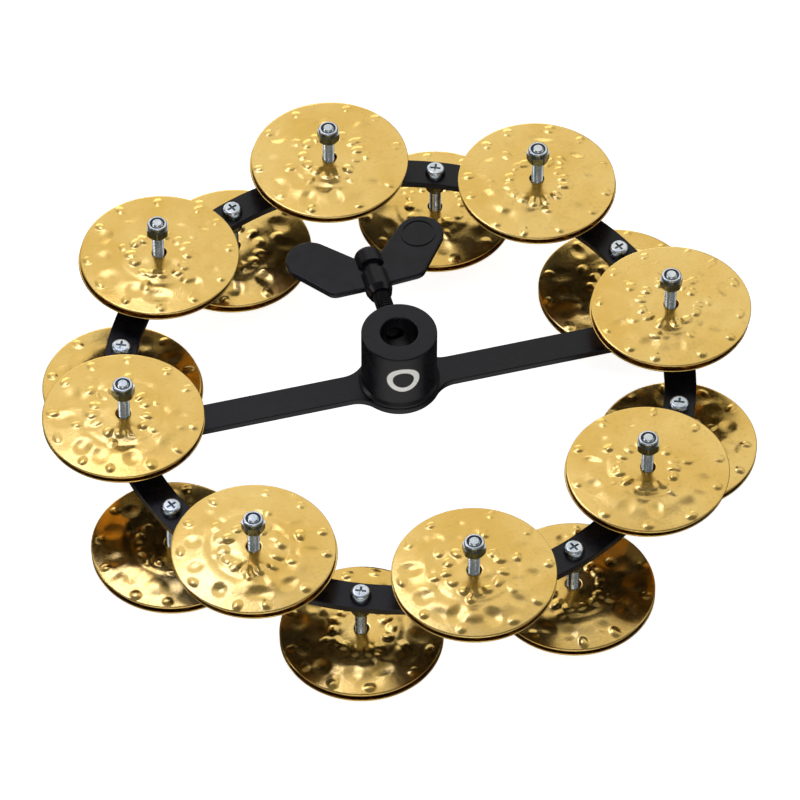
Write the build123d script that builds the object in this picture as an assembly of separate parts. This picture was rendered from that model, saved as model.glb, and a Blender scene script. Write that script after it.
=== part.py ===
from build123d import *
import os

# Hi-hat tambourine: a flat steel ring with a crossbar and a clamp hub, carrying loose pairs of
# dished brass jingles on screw posts that stand alternately up and down.
# Millimetres. The origin is on the hub's bore axis, level with the top face of the ring.
# +Z is up and the crossbar lies along X.

# frame
plate_thickness = 2.5
band_mid_radius = 94.4
band_width = 10.7
plate_edge_break = 0.25
bar_width = 11.0
disc_radius = 14.0
bar_fillet_radius = 9.0

# hub
rod_bore_radius = 6.25
hub_radius = 12.7
hub_height = 23.5
hub_foot_radius = 13.6
hub_foot_height = 0.9
hub_foot_cove = 0.9
hub_edge_round = 0.5
wing_axis_height = 16.0
stud_clearance = 0.05

# wing screw
stud_radius = 3.0
stud_tip_y = 6.9
stud_end_y = 40.0
neck_start_y = 23.6
neck_radius = 3.8
collar_start_y = 26.0
collar_end_y = 33.0
collar_radius = 4.6
waist_radius = 3.3
waist_slope = 0.5
cap_start_y = 36.6
cap_end_y = 43.2
cap_radius = 4.7
cap_end_round = 1.8
wing_rest_turn = -3.5
wing_thickness = 2.4
wing_edge_round = 0.7
wing_lobe = (19.3, 45.5, 8.1)
wing_corner = (13.6, 31.8, 4.2)
wing_root = (1.5, 31.9, 4.6)
badge_centre = (18.9, 45.8)
badge_radius = 5.9
badge_rim_width = 0.6
badge_depth = 0.35

# posts: pan-head screws with a clamp nut against the ring and a stop nut at the far end
posts_per_side = 8
post_angle_step = 360 / posts_per_side
screw_radius = 2.0
screw_length = 28.0
screw_hole_radius = 2.15
screw_tip_chamfer = 0.5
head_radius = 3.6
head_top_radius = 3.2
head_height = 2.6
head_edge_round = 1.1
recess_span = 3.6
recess_arm_width = 0.8
recess_depth = 1.3
nut_height = 5.0
nut_hex_height = 3.2
nut_across_flats = 7.0
nut_corner_radius = 3.9
nut_collar_radius = 3.35
nut_collar_round = 0.5
insert_seat_radius = 2.8
insert_lip_radius = 2.55
insert_bottom = 3.5
insert_top = 4.7
stop_nut_start = 20.1

# jingles
jingle_radius = 27.0
jingle_thickness = 0.6
jingle_rise = 1.2
jingle_hole_radius = 2.5
pair_rim_gap = 1.8
rest_gap = 0.05

band_inner_radius = band_mid_radius - band_width / 2
band_outer_radius = band_mid_radius + band_width / 2


def rod(radius, length):
    """Cylinder standing on z = 0."""
    return Cylinder(radius, length, align=(Align.CENTER, Align.CENTER, Align.MIN))


def ring_prism(outer, inner, height):
    return extrude(Circle(outer) - Circle(inner), height)


def post_places(lower):
    """Frames at the foot of each post, with their own +Z pointing away from the ring."""
    turn = post_angle_step / 2 if lower else 0
    flip = Pos(0, 0, -plate_thickness) * Rot(180, 0, 0) if lower else Pos(0, 0, 0)
    return [
        Rot(0, 0, turn + step * post_angle_step) * Pos(band_mid_radius, 0, 0) * flip
        for step in range(posts_per_side)
    ]


def ring_band():
    band = Pos(0, 0, -plate_thickness) * ring_prism(band_outer_radius, band_inner_radius, plate_thickness)
    band = chamfer(band.edges(), plate_edge_break)
    for lower in (False, True):
        for place in post_places(lower):
            band -= place * Cylinder(screw_hole_radius, 4 * plate_thickness)
    return band


def crossbar():
    outline = Rectangle(2 * band_mid_radius, bar_width) + Circle(disc_radius)
    inner_corners = [v for v in outline.vertices() if abs(v.X) < disc_radius]
    outline = fillet(inner_corners, bar_fillet_radius)
    outline = (outline & Circle(band_inner_radius)) - Circle(rod_bore_radius)
    bar = extrude(Pos(0, 0, -plate_thickness) * outline, plate_thickness)
    # the bore and the ends that meet the band stay sharp
    free_edges = [
        edge
        for edge in bar.edges().filter_by(Plane.XY)
        if abs(edge.center().X) < band_inner_radius - 1
        and abs(Vector(edge.center().X, edge.center().Y).length - rod_bore_radius) > 0.1
    ]
    return chamfer(free_edges, plate_edge_break)


def clamp_hub():
    profile = Polyline(
        (rod_bore_radius, 0),
        (hub_foot_radius, 0),
        (hub_foot_radius, hub_foot_height),
        (hub_radius, hub_foot_height + hub_foot_cove),
        (hub_radius, hub_height),
        (rod_bore_radius, hub_height),
        close=True,
    )
    hub = revolve(Plane.XZ * make_face(profile), Axis.Z)
    top_edges = hub.faces().sort_by(Axis.Z)[-1].edges()
    hub = fillet(top_edges, hub_edge_round)
    hole = rod(stud_radius + stud_clearance, 2 * hub_radius)
    return hub - Pos(0, 0, wing_axis_height) * Rot(-90, 0, 0) * hole


def along_y(length):
    """Frame on the wing screw's axis whose own +Z runs along +Y."""
    return Pos(0, length, wing_axis_height) * Rot(-90, 0, 0)


def wing_stud():
    stud = rod(stud_radius, stud_end_y - stud_tip_y)
    stud = chamfer(stud.edges().sort_by(Axis.Z)[0], screw_tip_chamfer)
    return along_y(stud_tip_y) * stud


def wing_blade(side):
    circles = [Pos(side * x, y) * Circle(r) for x, y, r in (wing_lobe, wing_corner, wing_root)]
    outline = make_hull([edge for circle in circles for edge in circle.edges()])
    blade = extrude(outline, wing_thickness)
    blade = fillet(blade.edges(), wing_edge_round)
    return Pos(0, 0, -wing_thickness / 2) * blade


def grip_core():
    """Collar, waist and end cap, turned about the Y axis."""
    profile = Polyline(
        (0, neck_start_y),
        (neck_radius, neck_start_y),
        (collar_radius, collar_start_y),
        (collar_radius, collar_end_y),
        (waist_radius, collar_end_y + waist_slope),
        (waist_radius, cap_start_y - waist_slope),
        (cap_radius, cap_start_y),
        (cap_radius, cap_end_y),
        (0, cap_end_y),
        close=True,
    )
    core = revolve(make_face(profile), Axis.Y)
    return fillet(core.edges().sort_by(Axis.Y)[-1], cap_end_round)


def wing_grip():
    grip = grip_core() + wing_blade(-1) + wing_blade(1)
    badge = ring_prism(badge_radius, badge_radius - badge_rim_width, 2 * badge_depth)
    grip += Pos(badge_centre[0], badge_centre[1], wing_thickness / 2 - badge_depth) * badge
    return Pos(0, 0, wing_axis_height) * Rot(0, wing_rest_turn, 0) * grip - wing_stud()


def post_screw():
    """Screw with the underside of its head on the far face of the ring and its tip at +Z."""
    shank = rod(screw_radius, screw_length)
    shank = chamfer(shank.edges().sort_by(Axis.Z)[-1], screw_tip_chamfer)
    head = Rot(180, 0, 0) * Cone(
        head_radius, head_top_radius, head_height, align=(Align.CENTER, Align.CENTER, Align.MIN)
    )
    head = fillet(head.edges().sort_by(Axis.Z)[0], head_edge_round)
    arm = Box(recess_span, recess_arm_width, recess_depth, align=(Align.CENTER, Align.CENTER, Align.MIN))
    recess = arm + Rot(0, 0, 90) * arm
    screw = shank + head - Pos(0, 0, -head_height) * recess
    return Pos(0, 0, -plate_thickness) * screw


def lock_nut():
    """Nylon-insert nut standing on z = 0 with its collar upwards."""
    hexagon = extrude(RegularPolygon(nut_across_flats / 2, 6, major_radius=False), nut_hex_height)
    rounder = rod(nut_corner_radius, nut_hex_height)
    body = hexagon & chamfer(rounder.edges().sort_by(Axis.Z)[0], 0.4)
    collar = rod(nut_collar_radius, nut_height)
    body += fillet(collar.edges().sort_by(Axis.Z)[-1], nut_collar_round)
    body -= Cylinder(screw_radius, 3 * nut_height)
    body -= Pos(0, 0, insert_bottom) * rod(insert_seat_radius, insert_top - insert_bottom)
    return body - Pos(0, 0, insert_bottom) * rod(insert_lip_radius, nut_height)


def nylon_insert():
    return Pos(0, 0, insert_bottom) * ring_prism(insert_seat_radius, screw_radius, insert_top - insert_bottom)


def jingle():
    """Dished disc, hollow side down: the underside of its rim is at z = 0."""
    edge = jingle_thickness
    section = make_face(
        [
            ThreePointArc((-jingle_radius, 0), (0, jingle_rise), (jingle_radius, 0)),
            Line((jingle_radius, 0), (jingle_radius, edge)),
            ThreePointArc((jingle_radius, edge), (0, jingle_rise + edge), (-jingle_radius, edge)),
            Line((-jingle_radius, edge), (-jingle_radius, 0)),
        ]
    )
    half = section & (Pos(jingle_radius, 0) * Rectangle(2 * jingle_radius, 4 * jingle_radius))
    disc = revolve(Plane.XZ * half, Axis.Z)
    return disc - Cylinder(jingle_hole_radius, 8 * jingle_rise)


def jingle_pair(base):
    """Bottom and top jingle of a pair, hollow sides facing, with the lowest point at z = base."""
    rim = base + jingle_rise + jingle_thickness
    disc = jingle()
    return Pos(0, 0, rim) * Rot(180, 0, 0) * disc, Pos(0, 0, rim + pair_rim_gap) * disc


def write(name, solids):
    shape = solids[0] if len(solids) == 1 else Compound(children=solids)
    export_step(shape, "parts/" + name + ".step")


def write_posts(side, lower):
    places = post_places(lower)
    write(side + "_post_screws", [place * post_screw() for place in places])
    for name, start in (("clamp", 0), ("stop", stop_nut_start)):
        lift = Pos(0, 0, start)
        write(side + "_" + name + "_nuts", [place * lift * lock_nut() for place in places])
        write(side + "_" + name + "_nut_inserts", [place * lift * nylon_insert() for place in places])


def write_jingles(side, lower):
    upper_base = nut_height + rest_gap
    lower_base = -plate_thickness - stop_nut_start + rest_gap
    bottom, top = jingle_pair(lower_base if lower else upper_base)
    for number in range(posts_per_side):
        angle = (number + (0.5 if lower else 0)) * post_angle_step
        place = Rot(0, 0, angle) * Pos(band_mid_radius, 0, 0)
        write(f"{side}_jingle_{number + 1}_bottom", [place * bottom])
        write(f"{side}_jingle_{number + 1}_top", [place * top])


os.makedirs("parts", exist_ok=True)
write("ring_band", [ring_band()])
write("crossbar", [crossbar()])
write("clamp_hub", [clamp_hub()])
write("wing_stud", [wing_stud()])
write("wing_grip", [wing_grip()])
for side_name, is_lower in (("upper", False), ("lower", True)):
    write_posts(side_name, is_lower)
    write_jingles(side_name, is_lower)
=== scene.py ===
import math
import random

import bpy
import bmesh
import numpy as np
from mathutils import Matrix, Vector


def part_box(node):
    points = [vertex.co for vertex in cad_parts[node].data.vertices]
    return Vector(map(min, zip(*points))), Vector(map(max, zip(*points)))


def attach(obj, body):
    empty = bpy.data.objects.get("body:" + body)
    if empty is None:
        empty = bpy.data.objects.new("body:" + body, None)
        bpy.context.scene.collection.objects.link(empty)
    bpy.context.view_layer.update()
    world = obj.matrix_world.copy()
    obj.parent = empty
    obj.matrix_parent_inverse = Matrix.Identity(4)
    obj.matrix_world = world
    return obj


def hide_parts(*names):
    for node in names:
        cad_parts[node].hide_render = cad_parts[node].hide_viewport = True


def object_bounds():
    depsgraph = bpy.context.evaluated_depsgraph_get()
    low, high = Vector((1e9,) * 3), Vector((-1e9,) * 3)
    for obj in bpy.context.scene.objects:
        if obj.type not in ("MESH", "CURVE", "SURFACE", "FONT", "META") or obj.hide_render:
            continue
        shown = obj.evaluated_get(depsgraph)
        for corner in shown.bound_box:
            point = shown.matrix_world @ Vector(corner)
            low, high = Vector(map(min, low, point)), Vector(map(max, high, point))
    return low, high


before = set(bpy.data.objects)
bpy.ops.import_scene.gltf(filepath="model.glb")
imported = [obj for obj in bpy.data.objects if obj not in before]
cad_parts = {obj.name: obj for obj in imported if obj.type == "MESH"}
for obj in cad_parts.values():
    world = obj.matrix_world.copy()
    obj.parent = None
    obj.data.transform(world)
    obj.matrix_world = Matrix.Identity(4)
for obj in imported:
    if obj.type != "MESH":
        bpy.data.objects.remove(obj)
cadBox = [list(corner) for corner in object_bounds()]
mm = 0.001
print("frame loaded:", len(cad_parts), "CAD nodes")


viewpoint = {
    "target": (-0.0022, -0.0094, 0.0),
    "azimuth": -14.97,          # degrees; 0 looks along +Y
    "elevation": 49.43,
    "roll": 0.10,
    "distance": 2.1101,
    "lens": 283.85,
}

studio = {
    "floorSize": 12.0,          # metres
    "floorGlow": 0.86,
    "paper": ((0.86, 0.86, 0.86), (0.90, 0.90, 0.90)),
    "skyRadius": 5.5,
    "skyGlow": 1.05,
    "worldTop": 0.16,
    "worldSide": 0.26,
    "worldBelow": 0.012,
    "frontBelow": 0.85,         # light from low in front, seen in walls that face forwards
    "front": (-0.26, -0.966),   # level direction towards the camera
}

lamps = {
    # name: direction it stands in (azimuth, elevation), distance, width, height, power, colour
    "backSoftbox": (18, 47, 1.3, 1.20, 0.78, 1.0, (1.0, 0.98, 0.95)),
    "wideSoftbox": (15, 42, 1.6, 2.6, 1.70, 4.6, (1.0, 0.97, 0.93)),
    "backStrip": (-8, 19, 1.25, 1.6, 0.30, 2.2, (1.0, 0.99, 0.96)),
    "keyLamp": (-14, 62, 1.15, 0.34, 0.24, 0.62, (0.92, 1.0, 1.7)),
    "leftStrip": (-75, 25, 1.3, 0.30, 0.5, 1.2, (1.0, 0.99, 0.97)),
    "rightFill": (85, 35, 1.5, 0.7, 0.8, 1.1, (0.97, 0.98, 1.0)),
    "frontFill": (-165, 28, 1.6, 1.2, 0.35, 3.2, (1.0, 1.0, 1.0)),
    "edgeStrip": (-165, 74, 1.3, 0.40, 0.07, 0.42, (1.0, 1.0, 1.0)),
}


def pointFrom(azimuth, elevation, distance):
    # azimuth 0 is +Y and turns towards +X
    a, e = math.radians(azimuth), math.radians(elevation)
    return Vector((math.sin(a) * math.cos(e), math.cos(a) * math.cos(e), math.sin(e))) * distance


def aimAt(obj, target):
    obj.rotation_euler = (Vector(target) - obj.location).to_track_quat("-Z", "Y").to_euler()


def addCamera():
    data = bpy.data.cameras.new("camera")
    data.lens = viewpoint["lens"]
    data.sensor_width = 36.0
    data.clip_end = 20.0
    camera = bpy.data.objects.new("camera", data)
    bpy.context.scene.collection.objects.link(camera)
    target = Vector(viewpoint["target"])
    away = pointFrom(180 - viewpoint["azimuth"], viewpoint["elevation"], viewpoint["distance"])
    camera.location = target + away
    aimAt(camera, target)
    turned = camera.rotation_euler.to_matrix() @ Matrix.Rotation(math.radians(viewpoint["roll"]), 3, "Z")
    camera.rotation_euler = turned.to_euler()
    bpy.context.scene.camera = camera


def addLamps():
    for name, (azimuth, elevation, distance, width, height, power, colour) in lamps.items():
        data = bpy.data.lights.new(name, "AREA")
        data.shape = "RECTANGLE"
        data.size, data.size_y = width, height
        data.energy = power
        data.color = colour
        lamp = bpy.data.objects.new(name, data)
        bpy.context.scene.collection.objects.link(lamp)
        lamp.location = pointFrom(azimuth, elevation, distance)
        aimAt(lamp, (0, 0, 0))
        lamp.visible_camera = False


class Wire:
    # a socket that takes part in Python arithmetic
    def __init__(self, sheet, socket):
        self.sheet, self.socket = sheet, socket

    def maths(self, operation, first, second=0.0):
        return self.sheet.node("ShaderNodeMath", {"operation": operation}, {0: first, 1: second})

    def __add__(self, other):
        return self.maths("ADD", self, other)

    def __radd__(self, other):
        return self.maths("ADD", other, self)

    def __sub__(self, other):
        return self.maths("SUBTRACT", self, other)

    def __rsub__(self, other):
        return self.maths("SUBTRACT", other, self)

    def __mul__(self, other):
        return self.maths("MULTIPLY", self, other)

    def __rmul__(self, other):
        return self.maths("MULTIPLY", other, self)

    def __truediv__(self, other):
        return self.maths("DIVIDE", self, other)


class Finish:
    # one node material; every node comes from node()
    def __init__(self, name, tree=None):
        self.material = None
        if tree is None:
            self.material = bpy.data.materials.new(name)
            self.material.use_nodes = True
            tree = self.material.node_tree
        self.tree = tree
        self.tree.nodes.clear()

    def node(self, kind, settings=None, sockets=None, out=0):
        made = self.tree.nodes.new(kind)
        for key, value in (settings or {}).items():
            if key == "stops":
                ramp = made.color_ramp
                while len(ramp.elements) < len(value):
                    ramp.elements.new(1.0)
                for element, (place, colour) in zip(ramp.elements, value):
                    element.position = place
                    element.color = (*colour, 1.0)
            else:
                setattr(made, key, value)
        for key, value in (sockets or {}).items():
            if isinstance(value, Wire):
                self.tree.links.new(value.socket, made.inputs[key])
            else:
                made.inputs[key].default_value = value
        return Wire(self, made.outputs[out]) if made.outputs else None

    def place(self):
        return self.node("ShaderNodeTexCoord", out="Object")

    def noise(self, scale, detail=2.0, roughness=0.5, vector=None):
        sockets = {"Vector": vector or self.place(), "Scale": scale, "Detail": detail, "Roughness": roughness}
        return self.node("ShaderNodeTexNoise", {"noise_dimensions": "3D"}, sockets)

    def ramp(self, factor, stops):
        return self.node("ShaderNodeValToRGB", {"stops": stops}, {"Fac": factor})

    def spread(self, factor, low, high, newLow, newHigh):
        sockets = {"Value": factor, "From Min": low, "From Max": high, "To Min": newLow, "To Max": newHigh}
        return self.node("ShaderNodeMapRange", {"clamp": True}, sockets)

    def mixColour(self, factor, first, second):
        made = self.node("ShaderNodeMix", {"data_type": "RGBA"}, {0: factor}, out=2).socket.node
        for index, value in ((6, first), (7, second)):
            if isinstance(value, Wire):
                self.tree.links.new(value.socket, made.inputs[index])
            else:
                made.inputs[index].default_value = (*value, 1.0)
        return Wire(self, made.outputs[2])

    def split(self, vector):
        # the three parts of a direction or a place
        made = self.node("ShaderNodeSeparateXYZ", None, {"Vector": vector}).socket.node
        return [Wire(self, made.outputs[k]) for k in range(3)]

    def bump(self, height, distance, strength, under=None):
        sockets = {"Height": height, "Distance": distance, "Strength": strength}
        if under is not None:
            sockets["Normal"] = under
        return self.node("ShaderNodeBump", None, sockets)

    def surface(self, **values):
        shader = self.node("ShaderNodeBsdfPrincipled")
        made = shader.socket.node
        for key, value in values.items():
            entry = made.inputs[key.replace("_", " ")]
            if isinstance(value, Wire):
                self.tree.links.new(value.socket, entry)
            else:
                entry.default_value = value
        self.node("ShaderNodeOutputMaterial", None, {"Surface": shader})
        return self.material


brass = {
    "light": (0.93, 0.66, 0.22),
    "deep": (0.84, 0.55, 0.14),
    "tarnish": (0.55, 0.33, 0.09),
    "tarnishAmount": 0.22,
    "rough": (0.15, 0.26),
    "cloud": 45.0,              # noise scales, per metre
    "fine": 900.0,
    "grain": 5200.0,
    "fineDepth": 0.05,          # mm
    "grainDepth": 0.008,
}


def brassFinish(name):
    f = Finish(name)
    cloud = f.noise(brass["cloud"], 3.0, 0.55)
    fine = f.noise(brass["fine"], 4.0, 0.6)
    grain = f.noise(brass["grain"], 3.0, 0.65)
    tint = f.mixColour(f.spread(cloud, 0.35, 0.65, 0.0, 1.0), brass["light"], brass["deep"])
    spots = f.spread(fine, 0.56, 0.72, 0.0, brass["tarnishAmount"])
    colour = f.mixColour(spots, tint, brass["tarnish"])
    return f.surface(
        Base_Color=colour,
        Metallic=1.0,
        Roughness=f.spread(fine, 0.3, 0.7, *brass["rough"]),
        Normal=f.bump(grain, brass["grainDepth"] * mm, 0.5, f.bump(fine, brass["fineDepth"] * mm, 0.5)),
    )


coat = {
    "colour": (0.0050, 0.0045, 0.0065),
    "worn": (0.015, 0.0145, 0.018),
    "rough": (0.24, 0.36),
    "specular": 0.3,
    "peel": 1400.0,             # noise scales, per metre
    "dust": 260.0,
    "peelDepth": 0.05,          # mm
}


hubMark = {
    # a plain printed ring on the hub's front
    "turn": -8.4,               # degrees from -Y
    "height": 13.4,
    "wall": 12.7,
    "outer": 5.6,
    "inner": 3.6,
    "soft": 0.12,
    "ink": (0.93, 0.92, 0.88),
}


def printedRing(f):
    # how much ink lies on the hub, 0 to 1
    x, y, z = f.split(f.place())
    turn = math.radians(hubMark["turn"])
    wall = hubMark["wall"] * mm
    sideways = (x * math.cos(turn) + y * math.sin(turn)) / wall
    across = f.node("ShaderNodeMath", {"operation": "ARCSINE"}, {0: sideways}) * wall
    forward = x * math.sin(turn) - y * math.cos(turn)
    up = z - hubMark["height"] * mm
    away = across * across + up * up
    outer, inner = (
        [((hubMark[key] + side * hubMark["soft"]) * mm) ** 2 for side in (-1, 1)]
        for key in ("outer", "inner")
    )
    covered = f.spread(away, *outer, 1.0, 0.0) * f.spread(away, *inner, 0.0, 1.0)
    worn = f.spread(f.noise(1500.0, 4.0, 0.6), 0.30, 0.36, 0.0, 1.0)
    return covered * worn * f.spread(forward, 4.0 * mm, 5.0 * mm, 0.0, 1.0)


def coatFinish(name, gloss=0.0, printed=False):
    f = Finish(name)
    peel = f.noise(coat["peel"], 3.0, 0.55)
    dust = f.noise(coat["dust"], 4.0, 0.6)
    colour = f.mixColour(f.spread(dust, 0.45, 0.8, 0.0, 0.55), coat["colour"], coat["worn"])
    rough = f.spread(dust, 0.3, 0.7, coat["rough"][0] - gloss, coat["rough"][1] - gloss)
    if printed:
        colour = f.mixColour(printedRing(f), colour, hubMark["ink"])
    return f.surface(
        Base_Color=colour,
        Roughness=rough,
        Specular_IOR_Level=coat["specular"],
        Normal=f.bump(peel, coat["peelDepth"] * mm, 0.55),
    )


zinc = {
    "bright": (0.80, 0.84, 0.86),
    "blue": (0.50, 0.60, 0.66),
    "green": (0.50, 0.58, 0.50),
    "nutSidesPaintedShade": (0.16, 0.18, 0.18),     # painted shade: faces that point sideways, such as hexagon flats and thread flanks, are painted darker than faces that point up or down
    "screwSidesPaintedShade": (0.42, 0.47, 0.50),
    "rough": (0.16, 0.32),
    "tone": 260.0,              # noise scales, per metre
    "marks": 2600.0,
    "markDepth": 0.012,         # mm
}


def zincFinish(name, sides):
    f = Finish(name)
    tone = f.noise(zinc["tone"], 3.0, 0.55)
    marks = f.noise(zinc["marks"], 4.0, 0.6)
    blue = f.mixColour(f.spread(tone, 0.4, 0.62, 0.0, 0.75), zinc["bright"], zinc["blue"])
    colour = f.mixColour(f.spread(marks, 0.55, 0.75, 0.0, 0.5), blue, zinc["green"])
    # painted shade: faces whose normal points sideways take the darker sides colour, faces pointing up or
    # down keep the plated colour
    facing = f.split(f.node("ShaderNodeNewGeometry", out="Normal"))[2]
    turned = f.spread(facing * facing, 0.1, 0.6, 0.0, 1.0)
    return f.surface(
        Base_Color=f.mixColour(turned, sides, colour),
        Metallic=1.0,
        Roughness=f.spread(marks, 0.3, 0.7, *zinc["rough"]),
        Normal=f.bump(marks, zinc["markDepth"] * mm, 0.5),
    )


nylonInsert = {
    "dark": (0.012, 0.020, 0.045),
    "pale": (0.025, 0.038, 0.070),
    "rough": (0.38, 0.52),
    "mottle": 1800.0,           # noise scale, per metre
    "mottleDepth": 0.02,        # mm
}


def nylonFinish(name):
    f = Finish(name)
    mottle = f.noise(nylonInsert["mottle"], 3.0, 0.5)
    share = f.spread(mottle, 0.35, 0.65, 0.0, 1.0)
    return f.surface(
        Base_Color=f.mixColour(share, nylonInsert["dark"], nylonInsert["pale"]),
        Roughness=f.spread(mottle, 0.3, 0.7, *nylonInsert["rough"]),
        Normal=f.bump(mottle, nylonInsert["mottleDepth"] * mm, 0.4),
    )


def floorFinish():
    f = Finish("floorPaper")
    colour = f.mixColour(f.noise(3.0, 2.0), *studio["paper"])
    return f.surface(
        Base_Color=colour,
        Roughness=0.9,
        Emission_Color=(1.0, 1.0, 1.0, 1.0),
        Emission_Strength=studio["floorGlow"],
    )


def skyFinish():
    f = Finish("skyPaper")
    glow = f.node("ShaderNodeEmission", None, {"Color": (1.0, 1.0, 1.0, 1.0), "Strength": studio["skyGlow"]})
    f.node("ShaderNodeOutputMaterial", None, {"Surface": glow})
    return f.material


def addWorld():
    world = bpy.data.worlds.new("studio")
    world.use_nodes = True
    bpy.context.scene.world = world
    f = Finish("studio", world.node_tree)
    direction = f.node("ShaderNodeTexCoord", out="Generated")
    x, y, height = f.split(direction)
    below, side, top = (studio[key] for key in ("worldBelow", "worldSide", "worldTop"))
    stops = [(0.0, (below,) * 3), (0.47, (below,) * 3), (0.56, (side,) * 3), (1.0, (top,) * 3)]
    shade = f.ramp(height * 0.5 + 0.5, stops)
    forward = f.spread(x * studio["front"][0] + y * studio["front"][1], 0.1, 0.6, 0.0, studio["frontBelow"])
    low = f.spread(height, -0.2, 0.0, 1.0, 0.0)
    lit = f.mixColour(forward * low, shade, (1.0, 1.0, 1.0))
    glow = f.node("ShaderNodeBackground", None, {"Color": lit, "Strength": 1.0})
    f.node("ShaderNodeOutputWorld", None, {"Surface": glow})


def addStage():
    floorZ = cadBox[0][2]
    half = studio["floorSize"] / 2
    corners = [(-half, -half, floorZ), (half, -half, floorZ), (half, half, floorZ), (-half, half, floorZ)]
    floor = meshPiece("floor", corners, [(0, 1, 2, 3)], floorFinish(), smooth=False)
    bpy.ops.mesh.primitive_uv_sphere_add(segments=48, ring_count=24, radius=studio["skyRadius"])
    sky = bpy.context.object
    sky.name = "sky"
    sky.data.materials.append(skyFinish())
    sky.visible_diffuse = sky.visible_glossy = sky.visible_shadow = sky.visible_transmission = False
    floor.visible_glossy = False


def meshPiece(name, points, faces, material, smooth=True):
    mesh = bpy.data.meshes.new(name)
    mesh.from_pydata([tuple(p) for p in points], [], faces)
    mesh.materials.append(material)
    mesh.polygons.foreach_set("use_smooth", [smooth] * len(faces))
    mesh.update()
    piece = bpy.data.objects.new(name, mesh)
    bpy.context.scene.collection.objects.link(piece)
    return piece


def sharpenBy(piece, degrees):
    piece.data.set_sharp_from_angle(angle=math.radians(degrees))


def zipRings(starts, counts):
    # triangles between neighbouring rings whose point counts may differ
    faces = []
    for ring in range(len(counts) - 1):
        a, b = counts[ring], counts[ring + 1]
        i = j = 0
        while i < a or j < b:
            if j >= b or (i < a and (i + 1) * b <= (j + 1) * a):
                faces.append((starts[ring] + i % a, starts[ring + 1] + j % b, starts[ring] + (i + 1) % a))
                i += 1
            else:
                faces.append((starts[ring] + i % a, starts[ring + 1] + j % b, starts[ring + 1] + (j + 1) % b))
                j += 1
    return faces


jingles = {
    "thickness": 0.6,
    "rise": 1.2,
    "hole": 2.5,
    "spacing": 0.5,             # mesh spacing over the disc
    "leastAround": 36,          # points round the smallest ring
    "edgeRound": 0.2,
    "cupRadius": 13.2,          # faint step where the middle was pressed
    "cupHeight": 0.16,
    "shoulder": (17.0, 3.2, 0.22),   # raised ring round the middle: radius, width, height
    "tilt": 0.45,               # degrees that a disc may lean on its post
    "shift": 0.48,              # how far off centre it may hang
    "calmHole": 3.0,            # no marks inside this radius
    "calmRim": 1.2,             # marks fade out over this width
}

# each row of hammer marks: how many, how far out, how far a mark may stray and the whole row may sit
# off centre, then width and height, all in mm, and how crisp the edge is; below zero is a dent
hammerRows = {
    "collar": {
        "count": (12, 14), "radius": 9.3, "wander": 0.5, "drift": 1.2,
        "width": (2.0, 2.35), "height": (0.34, 0.46), "crisp": 1.0,
    },
    "second": {
        "count": (5, 7), "radius": 14.0, "wander": 1.2, "drift": 1.5,
        "width": (1.8, 2.4), "height": (0.24, 0.38), "crisp": 1.1,
    },
    "petals": {
        "count": (10, 12), "radius": 19.0, "wander": 1.2, "drift": 0.8,
        "width": (3.2, 4.6), "height": (-0.42, -0.18), "crisp": 1.8,
    },
    "rim": {
        "count": (10, 12), "radius": 24.0, "wander": 0.5, "drift": 0.3,
        "width": (1.7, 2.1), "height": (0.26, 0.38), "crisp": 1.05,
    },
    "waves": {
        "count": (26, 32), "radius": 15.0, "wander": 9.0, "drift": 0.0,
        "width": (3.0, 6.0), "height": (-0.26, 0.26), "crisp": 2.0,
    },
}


def discLayout(radius):
    edge = jingles["edgeRound"]
    step = jingles["spacing"]
    hole = jingles["hole"]
    # close rings round off both edges, and even ones fill the middle
    inner = [hole, hole + 0.3 * edge, hole + edge]
    outer = [radius - edge, radius - 0.3 * edge, radius]
    span = outer[0] - inner[-1]
    steps = round(span / step)
    middle = [inner[-1] + span * k / steps for k in range(1, steps)]
    radii = inner + middle + outer
    counts = [max(jingles["leastAround"], round(2 * math.pi * r / step)) for r in radii]
    starts = [sum(counts[:k]) for k in range(len(counts))]
    r = np.concatenate([np.full(n, value) for n, value in zip(counts, radii)])
    a = np.concatenate([np.arange(n) * 2 * math.pi / n for n in counts])
    faces = zipRings(starts, counts)
    return {"r": r, "a": a, "counts": counts, "starts": starts, "faces": faces, "radius": radius}


def hammerMarks(rng, layout):
    x, y = layout["r"] * np.cos(layout["a"]), layout["r"] * np.sin(layout["a"])
    height = np.zeros_like(x)
    for row in hammerRows.values():
        count = rng.randint(*row["count"])
        turn = rng.uniform(0, 2 * math.pi)
        offX, offY = (rng.uniform(-1, 1) * row["drift"] for _ in range(2))
        for k in range(count):
            angle = turn + (k + rng.uniform(-0.2, 0.2)) * 2 * math.pi / count
            r = row["radius"] + rng.uniform(-1, 1) * row["wander"]
            width = rng.uniform(*row["width"])
            stretch = rng.uniform(0.8, 1.25)
            dx, dy = x - offX - r * math.cos(angle), y - offY - r * math.sin(angle)
            along = dx * math.cos(angle) + dy * math.sin(angle)
            across = -dx * math.sin(angle) + dy * math.cos(angle)
            t = (along / (width * stretch)) ** 2 + (across * stretch / width) ** 2
            height += rng.uniform(*row["height"]) * np.clip(1 - t, 0, 1) ** row["crisp"]
    return height


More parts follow.
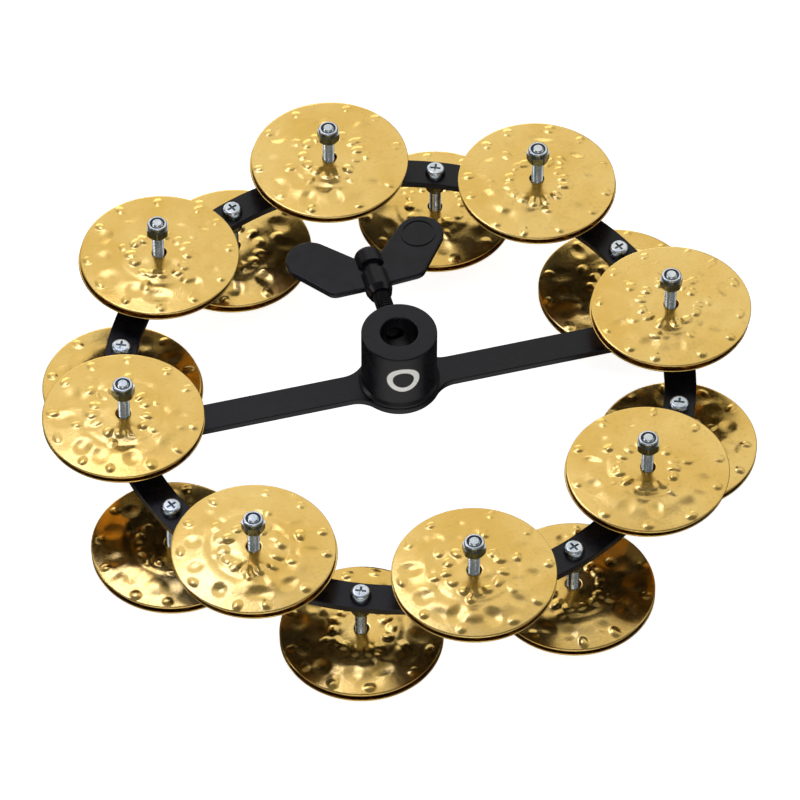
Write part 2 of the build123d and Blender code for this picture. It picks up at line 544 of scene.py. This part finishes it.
def discSurfaces(rng, layout):
    # height of the outer and the hollow side above the rim's underside, in mm
    r, radius, edge = layout["r"], layout["radius"], jingles["edgeRound"]
    thick = jingles["thickness"]
    dome = (jingles["rise"] - jingles["cupHeight"]) * (1 - (r / radius) ** 2)
    cup = np.clip((jingles["cupRadius"] + 1.0 - r) / 2.0, 0, 1)
    dome += jingles["cupHeight"] * cup * cup * (3 - 2 * cup)
    ringRadius, ringWidth, ringHeight = jingles["shoulder"]
    dome += ringHeight * np.exp(-((r - ringRadius) / ringWidth) ** 2)
    calm = np.clip((r - jingles["calmHole"]) / 2.0, 0, 1) * np.clip((radius - r) / jingles["calmRim"], 0, 1)
    dome += hammerMarks(rng, layout) * calm
    gap = np.minimum(np.minimum(radius - r, r - jingles["hole"]), edge)
    rounding = edge - np.sqrt(np.maximum(edge ** 2 - (edge - gap) ** 2, 0))
    return dome + thick - rounding, dome + rounding


def hammeredJingle(node, layout, material):
    rng = random.Random("jingle " + node)
    low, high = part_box(node)
    centre = (low + high) / 2
    outer, hollow = discSurfaces(rng, layout)
    x, y = layout["r"] * np.cos(layout["a"]), layout["r"] * np.sin(layout["a"])
    top = node.endswith("top")
    sign = 1 if top else -1
    rim = (low.z if top else high.z) / mm
    spin, lean = rng.uniform(0, 2 * math.pi), rng.uniform(0, 2 * math.pi)
    slope = math.tan(math.radians(jingles["tilt"] * rng.uniform(0.2, 1.0)))
    slip = jingles["shift"] * rng.uniform(0.3, 1.0)
    centre += Vector((math.cos(lean), math.sin(lean), 0)) * slip * mm
    xs, ys = x * math.cos(spin) - y * math.sin(spin), x * math.sin(spin) + y * math.cos(spin)
    leanZ = slope * (xs * math.cos(lean) + ys * math.sin(lean))
    rows = [
        np.stack([centre.x + xs * mm, centre.y + ys * mm, (rim + sign * side + leanZ) * mm], axis=1)
        for side in (outer, hollow)
    ]
    points = np.concatenate(rows)
    count = len(x)
    faces = list(layout["faces"]) + [(a + count, c + count, b + count) for a, b, c in layout["faces"]]
    last, n = layout["starts"][-1], layout["counts"][-1]
    faces += [(last + k, last + count + k, last + count + (k + 1) % n, last + (k + 1) % n) for k in range(n)]
    n = layout["counts"][0]
    faces += [(k, (k + 1) % n, count + (k + 1) % n, count + k) for k in range(n)]
    if not top:
        faces = [tuple(reversed(face)) for face in faces]
    piece = meshPiece("hammered_" + node, points, faces, material)
    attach(piece, node)
    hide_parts(node)


def addJingles():
    names = [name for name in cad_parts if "_jingle_" in name]
    low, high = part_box(names[0])
    layout = discLayout((high.x - low.x) / 2 / mm)
    material = brassFinish("hammeredBrass")
    for name in names:
        hammeredJingle(name, layout, material)
    print("jingles hammered:", len(names), "discs of", 2 * len(layout["r"]), "points")


postThread = {"major": 2.0, "minor": 1.62, "pitch": 0.7, "steps": 6, "sides": 28, "tip": 0.5}
postsPerSide = 8
screwHeadHeight = 2.6
rodSunk = 0.3                   # how far a rod's foot sits inside its screw's head
wingThread = {"major": 3.0, "minor": 2.42, "pitch": 1.0, "steps": 10, "sides": 48, "tip": 0.5}


def threadedRod(spec, length):
    # points and faces of a rod along +Z from 0 to length, in mm, with a chamfered far end
    rings = round(length / spec["pitch"] * spec["steps"])
    sides = spec["sides"]
    points, faces = [], []
    for ring in range(rings + 1):
        z = length * ring / rings
        for side in range(sides):
            phase = (z / spec["pitch"] - side / sides) % 1.0
            # a triangle wave with its crest and root cut flat
            tooth = min(1.0, max(0.0, 1.6 * (1 - abs(2 * phase - 1)) - 0.2))
            r = spec["minor"] + (spec["major"] - spec["minor"]) * tooth
            r = min(r, spec["major"] - spec["tip"] + length - z)
            angle = 2 * math.pi * side / sides
            points.append((r * math.cos(angle), r * math.sin(angle), z))
    for ring in range(rings):
        for side in range(sides):
            a, b = ring * sides + side, ring * sides + (side + 1) % sides
            faces.append((a, b, b + sides, a + sides))
    faces.append(tuple(reversed(range(sides))))
    faces.append(tuple(range(rings * sides, (rings + 1) * sides)))
    return points, faces


def headMesh(node, shankStart, up):
    # the screws' heads, cut from a copy of the CAD node's mesh and closed where the shanks were
    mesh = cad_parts[node].data.copy()
    work = bmesh.new()
    work.from_mesh(mesh)
    bmesh.ops.remove_doubles(work, verts=work.verts, dist=0.002 * mm)
    sign = 1 if up else -1
    limit = sign * shankStart + 0.01 * mm
    doomed = [face for face in work.faces if sign * face.calc_center_median().z > limit]
    bmesh.ops.delete(work, geom=doomed, context="FACES")
    bmesh.ops.holes_fill(work, edges=[edge for edge in work.edges if edge.is_boundary])
    work.verts.ensure_lookup_table()
    points = [tuple(v.co) for v in work.verts]
    faces = [tuple(v.index for v in face.verts) for face in work.faces]
    work.free()
    return points, faces


def addPostScrews(side, material):
    node = side + "_post_screws"
    up = side == "upper"
    low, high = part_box(node)
    head = screwHeadHeight * mm
    flip = 1 if up else -1
    underHead = low.z + head if up else high.z - head
    start = underHead - flip * rodSunk * mm
    points, faces = headMesh(node, underHead, up)
    rodPoints, rodFaces = threadedRod(postThread, (high.z - low.z - head) / mm + rodSunk)
    for number in range(postsPerSide):
        jingleLow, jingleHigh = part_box(f"{side}_jingle_{number + 1}_top")
        centre = (jingleLow + jingleHigh) / 2
        offset = len(points)
        points += [
            (centre.x + x * mm, centre.y + flip * y * mm, start + flip * z * mm)
            for x, y, z in rodPoints
        ]
        faces += [tuple(offset + k for k in face) for face in rodFaces]
    piece = meshPiece("threaded_" + node, points, faces, material)
    sharpenBy(piece, 32)
    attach(piece, "frame")
    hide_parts(node)


def addWingStud(material):
    low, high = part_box("wing_stud")
    points, faces = threadedRod(wingThread, (high.y - low.y) / mm)
    axisX, axisZ = (low.x + high.x) / 2, (low.z + high.z) / 2
    points = [(axisX + x * mm, high.y - z * mm, axisZ + y * mm) for x, y, z in points]
    piece = meshPiece("threaded_wing_stud", points, faces, material)
    sharpenBy(piece, 40)
    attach(piece, "wing_screw")
    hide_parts("wing_stud")


def dress(names, material):
    for name in names:
        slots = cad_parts[name].data.materials
        slots.clear()
        slots.append(material)


addCamera()
addWorld()
addLamps()
addStage()
print("studio ready")

frameCoat = coatFinish("frameCoat")
wingCoat = coatFinish("wingCoat", gloss=0.10)
zincNuts = zincFinish("zincNuts", zinc["nutSidesPaintedShade"])
zincScrews = zincFinish("zincScrews", zinc["screwSidesPaintedShade"])
nylon = nylonFinish("nylon")
dress(["ring_band", "crossbar"], frameCoat)
dress(["clamp_hub"], coatFinish("hubCoat", printed=True))
dress(["wing_grip"], wingCoat)
dress([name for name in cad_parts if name.endswith("_nuts")], zincNuts)
dress([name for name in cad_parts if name.endswith("_inserts")], nylon)
print("CAD nodes finished")

addJingles()
for side in ("upper", "lower"):
    addPostScrews(side, zincScrews)
addWingStud(wingCoat)
print("threads cut")

bpy.context.scene.view_settings.view_transform = "Standard"
